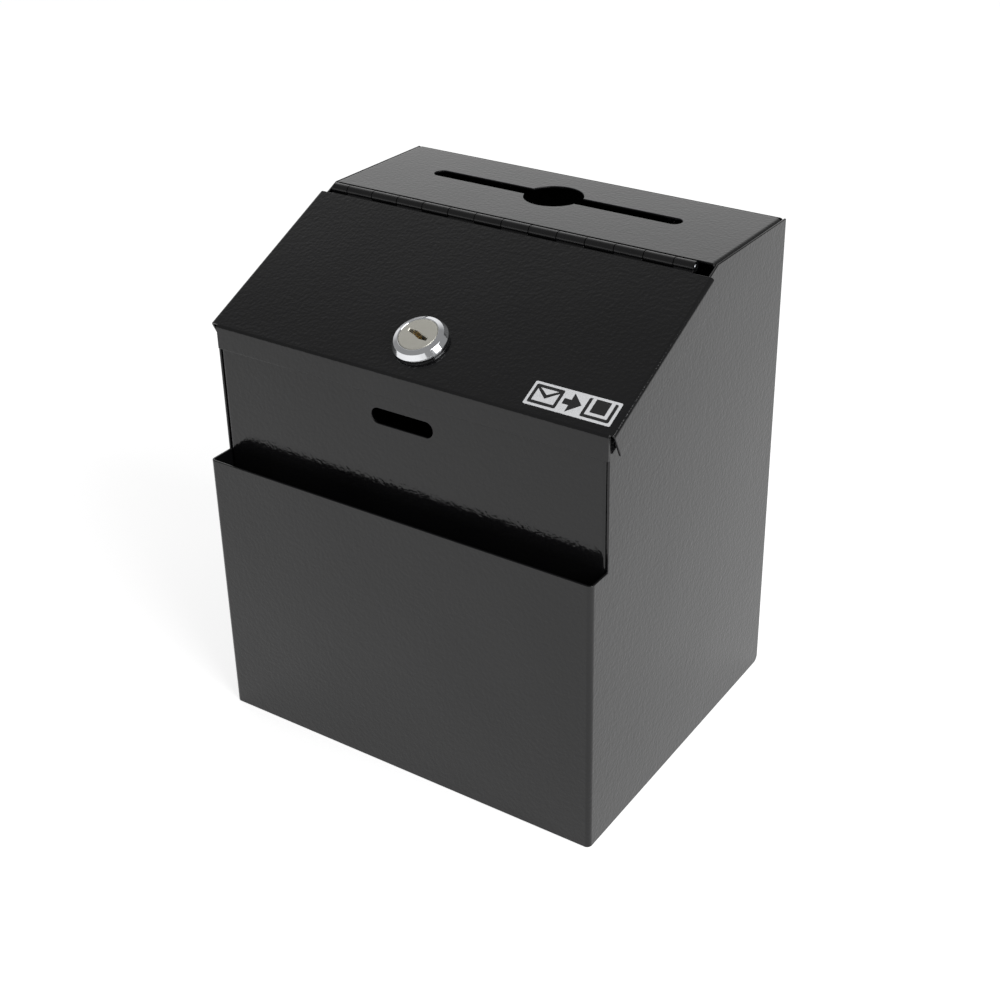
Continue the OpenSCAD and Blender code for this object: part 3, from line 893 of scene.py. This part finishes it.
@dataclass
class CamLock:
    """The cam lock: a threaded housing held by its nut, and a wafer plug that turns the cam."""

    bench: Bench  # origin on the axis at the lid's outer face, x right, z out of the lid
    ring_width: float = 2.2  # sloping ring round the plug's face
    ring_fall: float = 0.9
    rim_height: float = 0.6  # of the bezel's outer edge over the collar
    rim_tuck: float = 0.5  # how far the bezel is drawn in under that edge
    lip_width: float = 0.35  # of the bezel's innermost edge
    lip_depth: float = 0.4
    bezel_root: float = 0.3  # how far the barrel reaches into the bezel
    head_depth: float = 1.45  # of the plug's head
    head_gap: float = 0.05  # round the plug's head and under it
    plug_gap: float = 0.06  # round the plug's body
    recess_gap: float = 0.2  # round the stop washer and over it
    stop_play: float = 4.0  # degrees left beyond the tab at each stop
    key_length: float = 9.4
    key_width: float = 2.3
    key_chamfer: float = 0.35
    wafer_gap: float = 0.15
    wafer_spacing: float = 0.5  # least gap between stacked solids
    tail_chamfer: float = 0.3
    thread_pitch: float = 1.0
    thread_depth: float = 0.35
    thread_rows: int = 6  # rows of faces in one turn
    spring_turns: int = 6
    spring_wire: float = 0.16
    spring_steps: int = 14  # in one turn
    spring_sides: int = 8
    teeth: int = 12
    tooth_twist: float = 14.0  # degrees
    tooth_share: float = 0.62  # of the washer's bore that teeth take up
    tooth_root: float = 0.2  # how far a tooth reaches into the rim
    nut_land: float = 0.2  # how far the nut's chamfer starts inside its flats
    nut_chamfer: Pair = (0.02, 0.1)  # cutter's play outside the corners, and its extra drop
    nut_flare: Pair = (0.9, 0.4)  # how far the countersink's cutter flares, and its depth
    nut_gap: float = 0.05  # round the barrel
    pan: Triple = (0.9, 1.3, 0.6)  # the screw head's fall, height, radius
    cross: Triple = (2.1, 0.42, 1.2)  # half length, half width, depth
    cross_taper: Pair = (0.55, 0.6)  # of that length and width at the bottom

    def build(self) -> None:
        """Makes the fixed parts, then the parts that turn with the key."""
        turned = TurnedMetal("turned_nickel_plated_brass", "plug_nickel",
                             centre=tuple(self.bench.axes.translation))
        for name, node, made, finish, body in (
                ("lock_bezel_and_barrel", "lock_housing", self.housing(), CHROME, Body.LID),
                ("lock_collar", "lock_trim_ring", self.collar(), CHROME, Body.LID),
                ("lock_toothed_washer", "lock_washer", self.toothed_washer(), ZINC, Body.LID),
                ("lock_hex_nut", "lock_nut", self.nut(), ZINC, Body.LID),
                ("lock_plug_body", "lock_plug", self.plug(), turned, Body.PLUG),
                ("wafer_stack", "wafers", self.stamped("wafers", 0.06), BRASS, Body.PLUG),
                ("wafer_coil_springs", "wafer_springs", self.springs(), SPRING, Body.PLUG),
                ("turn_stop_washer", "stop_washer", self.stamped("stop_washer", 0.1), ZINC,
                 Body.PLUG),
                ("locking_cam", "lock_cam", self.stamped("lock_cam", 0.25), ZINC, Body.PLUG),
                ("cam_flat_washer", "cam_washer", self.stamped("cam_washer", 0.1), ZINC,
                 Body.PLUG),
                ("cam_pan_screw", "cam_screw", self.screw(), ZINC, Body.PLUG)):
            self.bench.piece(name, made, finish, body, node)

    def stamped(self, node: str, width: float) -> Solid:
        """A CAD node with its edges rounded over a width, as a tumbler leaves them."""
        return soften(self.bench.blank(node), width)

    def housing(self) -> Solid:
        """Makes the bezel and the threaded barrel with its two flats and its bore."""
        low, high = self.bench.span("lock_housing")
        ring = self.bench.span("lock_trim_ring")[1].z
        plug_high = self.bench.span("lock_plug")[1]
        face, edge, top = plug_high.x, high.x, high.z
        mouth, sill = face + self.head_gap, top - self.lip_depth
        bezel = lathe(round_profile([
            (0, ring, 0), (edge - self.rim_tuck, ring, 0.2), (edge, ring + self.rim_height, 0.3),
            (face + self.ring_width, top - self.ring_fall, 0.35),
            (face + self.lip_width, top, 0.25), (mouth, sill, 0.1), (0, sill, 0)], 6), FINE_ROUND)
        made = mix(self.threaded_barrel(low.z, ring + self.bezel_root), bezel, Boolean.JOIN)
        body = self.plug_radius() + self.plug_gap
        seat = plug_high.z - self.head_depth - self.head_gap
        below, above = low.z - PAST, top + PAST
        bore = lathe([(0, below), (body, below), (body, seat), (mouth, seat), (mouth, above),
                      (0, above)])
        stop = self.bench.span("stop_washer")[1]
        reach, shelf = stop.x + self.recess_gap, stop.z + self.recess_gap
        recess = lathe([(0, below), (reach, below), (reach, shelf), (0, shelf)])
        return cut(made, bore, recess, prism(self.stop_sector(stop.x), below, shelf))

    def plug_radius(self) -> float:
        """Radius of the plug's body, below its head."""
        return max(math.hypot(p.x, p.y) for p in self.bench.points("lock_plug") if p.z < 0)

    def stop_sector(self, reach: float) -> Points:
        """Outline of the gap in the barrel's rim that the stop washer's tab swings in.

        Args:
            reach: Radius of the stop washer, without its tab.

        Returns:
            The outline, anticlockwise, from the axis to well outside the barrel.
        """
        turn = math.radians(self.bench.joint("lock_turn")["range_deg"][1])
        tab = max(p.y for p in self.bench.points("stop_washer") if p.x < -reach - LEVEL)
        half = math.asin(tab / reach) + math.radians(self.stop_play)
        far = 2 * barrel_sizes(self.bench)[0]
        angles = [math.pi - turn - half, math.pi - turn / 2, math.pi + half]
        return [(0.0, 0.0)] + [(far * math.cos(a), far * math.sin(a)) for a in angles]

    def threaded_barrel(self, low: float, high: float) -> Solid:
        """Makes a closed rod with a helical thread and two flats.

        Args:
            low: Height of its lower end.
            high: Height of its upper end.

        Returns:
            The new mesh.
        """
        radius, flat = barrel_sizes(self.bench)
        rows = int((high - low) / self.thread_pitch * self.thread_rows)
        rings = []
        for j in range(rows + 1):
            z = low + (high - low) * j / rows
            fade = min(1.0, (z - low) / self.thread_pitch)
            ring = []
            for k in range(ROUND):
                turn = 2 * math.pi * k / ROUND
                crest = abs(2 * ((z / self.thread_pitch - k / ROUND) % 1.0) - 1)
                reach = radius - self.thread_depth * (crest * fade + (1 - fade))
                if abs(math.sin(turn)) * reach > flat:
                    reach = flat / abs(math.sin(turn))
                ring.append(Vector((reach * math.cos(turn), reach * math.sin(turn), z)))
            rings.append(ring)
        return rod(rings)

    def collar(self) -> Solid:
        """Makes the thin collar between the bezel and the lid, with a rolled edge."""
        low, high = self.bench.span("lock_trim_ring")
        bore = barrel_sizes(self.bench)[0] + BARREL_GAP
        return lathe(round_profile([(bore, low.z, 0), (high.x, low.z, 0.3),
                                    (high.x, high.z, 0.3), (bore, high.z, 0)]))

    def toothed_washer(self) -> Solid:
        """Makes the lock washer: a flat rim with twisted teeth round its bore."""
        low, high = self.bench.span("lock_washer")
        bore = barrel_sizes(self.bench)[0] + BARREL_GAP
        rim = (bore + high.x) / 2 + self.tooth_root
        quarter = (high.z - low.z) / 4
        made = lathe(soft_box_outline(rim, low.z + quarter, high.x, high.z - quarter, 0.1, 2))
        half = self.tooth_share * math.pi * bore / self.teeth
        middle = Matrix.Translation((0, 0, (low.z + high.z) / 2))
        twist = Matrix.Rotation(math.radians(self.tooth_twist), 4, "X")
        for k in range(self.teeth):
            tooth = prism(box_outline(bore, -half, rim + self.tooth_root, half),
                          -quarter, quarter)
            spin = Matrix.Rotation(2 * math.pi * k / self.teeth, 4, "Z")
            made = mix(made, moved(tooth, middle @ spin @ twist), Boolean.JOIN)
        return made

    def nut(self) -> Solid:
        """Makes the hexagon nut with its corners chamfered on both faces."""
        low, high = self.bench.span("lock_nut")
        slant = math.radians(30)
        flats = high.x * math.cos(slant)
        play, extra = self.nut_chamfer
        land, rim = flats - self.nut_land, high.x + play
        drop = (high.x - flats) * math.tan(slant) + extra
        turned = lathe(round_profile([
            (0, low.z, 0), (land, low.z, 0.1), (rim, low.z + drop, 0.05),
            (rim, high.z - drop, 0.05), (land, high.z, 0.1), (0, high.z, 0)]))
        made = mix(prism(disc_outline(high.x, 6), low.z, high.z), turned, Boolean.KEEP)
        bore = barrel_sizes(self.bench)[0] + self.nut_gap
        flare, sink = self.nut_flare
        return cut(made, lathe([(0, low.z - PAST), (bore + flare, low.z - PAST),
                                (bore, low.z + sink), (bore, high.z - sink),
                                (bore + flare, high.z + PAST), (0, high.z + PAST)]))

    def plug(self) -> Solid:
        """Makes the plug: a turned head with its keyway, the slotted body and the square tail."""
        low, high = self.bench.span("lock_plug")
        shoulder = self.bench.span("stop_washer")[1].z
        face, top = high.x, high.z
        seat = top - self.head_depth
        body = self.plug_radius()
        made = lathe(round_profile([
            (0, shoulder, 0), (body, shoulder, 0.3), (body, seat, 0), (face, seat, 0.1),
            (face, top, 0.35), (0, top, 0)]), FINE_ROUND)
        half = max(p.y for p in self.bench.points("lock_plug") if p.z < low.z + LEVEL)
        chamfer = self.tail_chamfer
        square = box_outline(-half, -half, half, half)
        tip = [(x - math.copysign(chamfer, x), y - math.copysign(chamfer, y)) for x, y in square]
        tail = mix(prism(square, low.z + chamfer, shoulder + chamfer),
                   prism(tip, low.z, low.z + chamfer, square), Boolean.JOIN)
        made = mix(made, tail, Boolean.JOIN)
        wafers = self.shells("wafers")
        key = prism(self.keyway(0), wafers[0][0].z - PAST, top + PAST)
        rise = 0.1  # of the chamfer's cutter over the face
        lead = prism(self.keyway(0), top - self.key_chamfer, top + rise,
                     self.keyway(self.key_chamfer + rise))
        gap = self.wafer_gap
        slots = [prism(box_outline(-2 * body, bottom.y - gap, 2 * body, crest.y + gap),
                       bottom.z - gap, crest.z + gap) for bottom, crest in wafers]
        shank = self.screw_shank()
        hole = shank + gap / 3
        depth = self.bench.span("cam_screw")[1].z
        drilled = lathe([(0, low.z - PAST), (hole, low.z - PAST), (hole, depth),
                         (0, depth + shank / 2)], ROUND // 2)
        return cut(made, key, lead, *slots, drilled)

    def keyway(self, grow: float) -> Points:
        """Draws the cranked keyway.

        Args:
            grow: How far a chamfer moves it outwards.

        Returns:
            The outline, anticlockwise.
        """
        long, wide = self.key_length / 2 + grow, self.key_width / 2 + grow
        step = self.key_width / 4
        return [(-long, step - grow), (step - long / 3, step - wide), (0, -wide),
                (long / 3, -wide - step), (long, -wide - step), (long, grow - step),
                (long / 3 - step, wide - step), (0, wide), (-long / 3, wide + step),
                (-long, wide + step)]

    def screw_shank(self) -> float:
        """Radius of the cam screw's shank."""
        tip = self.bench.span("cam_screw")[1].z
        return max(p.x for p in self.bench.points("cam_screw") if p.z > tip - LEVEL)

    def springs(self) -> Solid:
        """Winds one coil spring beside each wafer."""
        made = bmesh.new()
        wire = self.spring_wire
        steps = self.spring_steps * self.spring_turns
        for low, high in self.shells("wafer_springs"):
            radius = (high.z - low.z) / 2 - wire
            middle = (low + high) / 2
            path = []
            for k in range(steps + 1):
                turn = 2 * math.pi * self.spring_turns * k / steps
                along = low.x + wire + (high.x - low.x - 2 * wire) * k / steps
                path.append(Vector((along, middle.y + radius * math.cos(turn),
                                    middle.z + radius * math.sin(turn))))
            merge(made, tube(path, wire, self.spring_sides))
        return made

    def shells(self, node: str) -> list[tuple[Vector, Vector]]:
        """Measures each of a CAD node's stacked solids.

        Args:
            node: A node whose solids follow one another along the lock's axis.

        Returns:
            Lowest and highest corner of each solid, from the inner end outwards.
        """
        groups: list[list[Vector]] = []
        for point in sorted(self.bench.points(node), key=lambda p: p.z):
            if groups and point.z - groups[-1][-1].z < self.wafer_spacing:
                groups[-1].append(point)
            else:
                groups.append([point])
        return [limits(group) for group in groups]

    def screw(self) -> Solid:
        """Makes the pan-head screw that clamps the cam, with a cross in its head."""
        low, high = self.bench.span("cam_screw")
        head, shank = high.x, self.screw_shank()
        under = self.bench.span("cam_washer")[0].z
        fall, height, radius = self.pan
        made = lathe(round_profile([
            (0, low.z, 0), (head - fall, low.z, radius), (head, low.z + height, radius),
            (head, under, 0.15), (shank, under, 0), (shank, high.z, 0.3), (0, high.z, 0)]), 72)
        long, wide, depth = self.cross
        end, side = long * self.cross_taper[0], wide * self.cross_taper[1]
        for turn in (0, 90):
            arm = prism(box_outline(-long, -wide, long, wide), -PAST, depth,
                        box_outline(-end, -side, end, side))
            spin = Matrix.Rotation(math.radians(turn), 4, "Z")
            made = cut(made, moved(arm, Matrix.Translation((0, 0, low.z)) @ spin))
        return made


@dataclass
class Studio:
    """A pale sweep under soft light, and the camera."""

    azimuth: float = 31.69
    elevation: float = 27.26
    roll: float = 0.149
    distance: float = 0.6521
    lens: float = 58.0
    shift: Pair = (-0.07, -0.07)
    aim: Triple = (0.0359, 0.0, 0.1370)
    floor_size: float = 14.0
    screen: Triple = (-0.57, 0.77, 0.28)  # direction of the lit backdrop
    screen_edge: Pair = (0.6, 0.98)  # cosines where it starts and where it is full
    screen_light: float = 1.03
    room_light: float = 0.31
    lamp_place: Triple = (1.05, -0.25, 0.8)
    lamp_size: float = 0.9
    lamp_power: float = 11.0
    sensor: float = 36.0
    clip: Pair = (0.01, 100.0)

    def build(self) -> None:
        """Sets the camera, the floor and the light."""
        self.camera()
        self.floor()
        self.room()
        self.lamp()
        bpy.context.scene.view_settings.view_transform = "Standard"

    def camera(self) -> None:
        """Places the camera by its angles round the point that it looks at."""
        azimuth, elevation = math.radians(self.azimuth), math.radians(self.elevation)
        back = Vector((math.sin(azimuth) * math.cos(elevation),
                       -math.cos(azimuth) * math.cos(elevation), math.sin(elevation)))
        right = Vector((math.cos(azimuth), math.sin(azimuth), 0))
        up = back.cross(right)
        turn = Matrix((right, up, back)).transposed().to_4x4()
        spin = Matrix.Rotation(math.radians(self.roll), 4, "Z")
        data = bpy.data.cameras.new("camera")
        data.lens = self.lens
        data.sensor_width = self.sensor
        data.shift_x, data.shift_y = self.shift
        data.clip_start, data.clip_end = self.clip
        camera = put("camera", data)
        place = Matrix.Translation(Vector(self.aim) + self.distance * back)
        camera.matrix_world = place @ turn @ spin
        bpy.context.scene.camera = camera

    def floor(self) -> None:
        """Lays the white sweep."""
        made = bmesh.new()
        half = self.floor_size / 2
        made.faces.new([made.verts.new((x, y, 0))
                        for x, y in box_outline(-half, -half, half, half)])
        mesh = bake("floor", made)
        mesh.materials.append(SWEEP.material())
        put("floor", mesh)

    def room(self) -> None:
        """Lights the room: a bright backdrop behind the box, and dim walls round the rest."""
        world = bpy.data.worlds.new("room")
        bpy.context.scene.world = world
        world.use_nodes = True
        tree = world.node_tree
        tree.nodes.clear()
        place = add(tree, "TexCoord").outputs["Generated"]
        towards = Vector(self.screen).normalized()
        facing = add(tree, "VectorMath", {0: place, 1: tuple(towards)}, operation="DOT_PRODUCT")
        glow = ramp(tree, facing.outputs["Value"], self.screen_edge,
                    (self.room_light, self.screen_light), interpolation_type="SMOOTHSTEP")
        light = add(tree, "Background", {"Color": (1.0, 1.0, 1.0, 1.0), "Strength": glow})
        add(tree, "OutputWorld", {"Surface": light.outputs[0]})

    def lamp(self) -> None:
        """Hangs one soft square lamp to the right, turned to the box."""
        data = bpy.data.lights.new("soft_lamp", "AREA")
        data.shape = "SQUARE"
        data.size = self.lamp_size
        data.energy = self.lamp_power
        lamp = put("soft_lamp", data)
        place = Vector(self.lamp_place)
        turn = (Vector(self.aim) - place).to_track_quat("-Z", "Y")
        lamp.matrix_world = Matrix.Translation(place) @ turn.to_matrix().to_4x4()


def lock_axes(joint: dict) -> Matrix:
    """Works out the lock's axes from its joint.

    Args:
        joint: The joint that the plug turns on.

    Returns:
        Millimetres in the lock's axes to the frame's metres. The origin is on the lid's outer
        face, x is to the right, y is up the slope and z points out of the lid.
    """
    out = -Vector(joint["axis"]).normalized()
    right = Vector((1, 0, 0))
    up = out.cross(right)
    turn = Matrix((right, up, out)).transposed().to_4x4()
    return Matrix.Translation(joint["pos_m"]) @ turn @ Matrix.Scale(MM, 4)


def main() -> None:
    """Builds the sub-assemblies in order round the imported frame."""
    logging.basicConfig(level=logging.INFO, format="%(name)s %(message)s")
    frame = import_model()
    row = Bench(frame)
    lock = Bench(frame, lock_axes(row.joint("lock_turn")))
    Studio().build()
    Case(row).build()
    PianoHinge(row).build()
    Flap(lock, row).build()
    CamLock(lock).build()


if __name__ == "__main__":
    main()
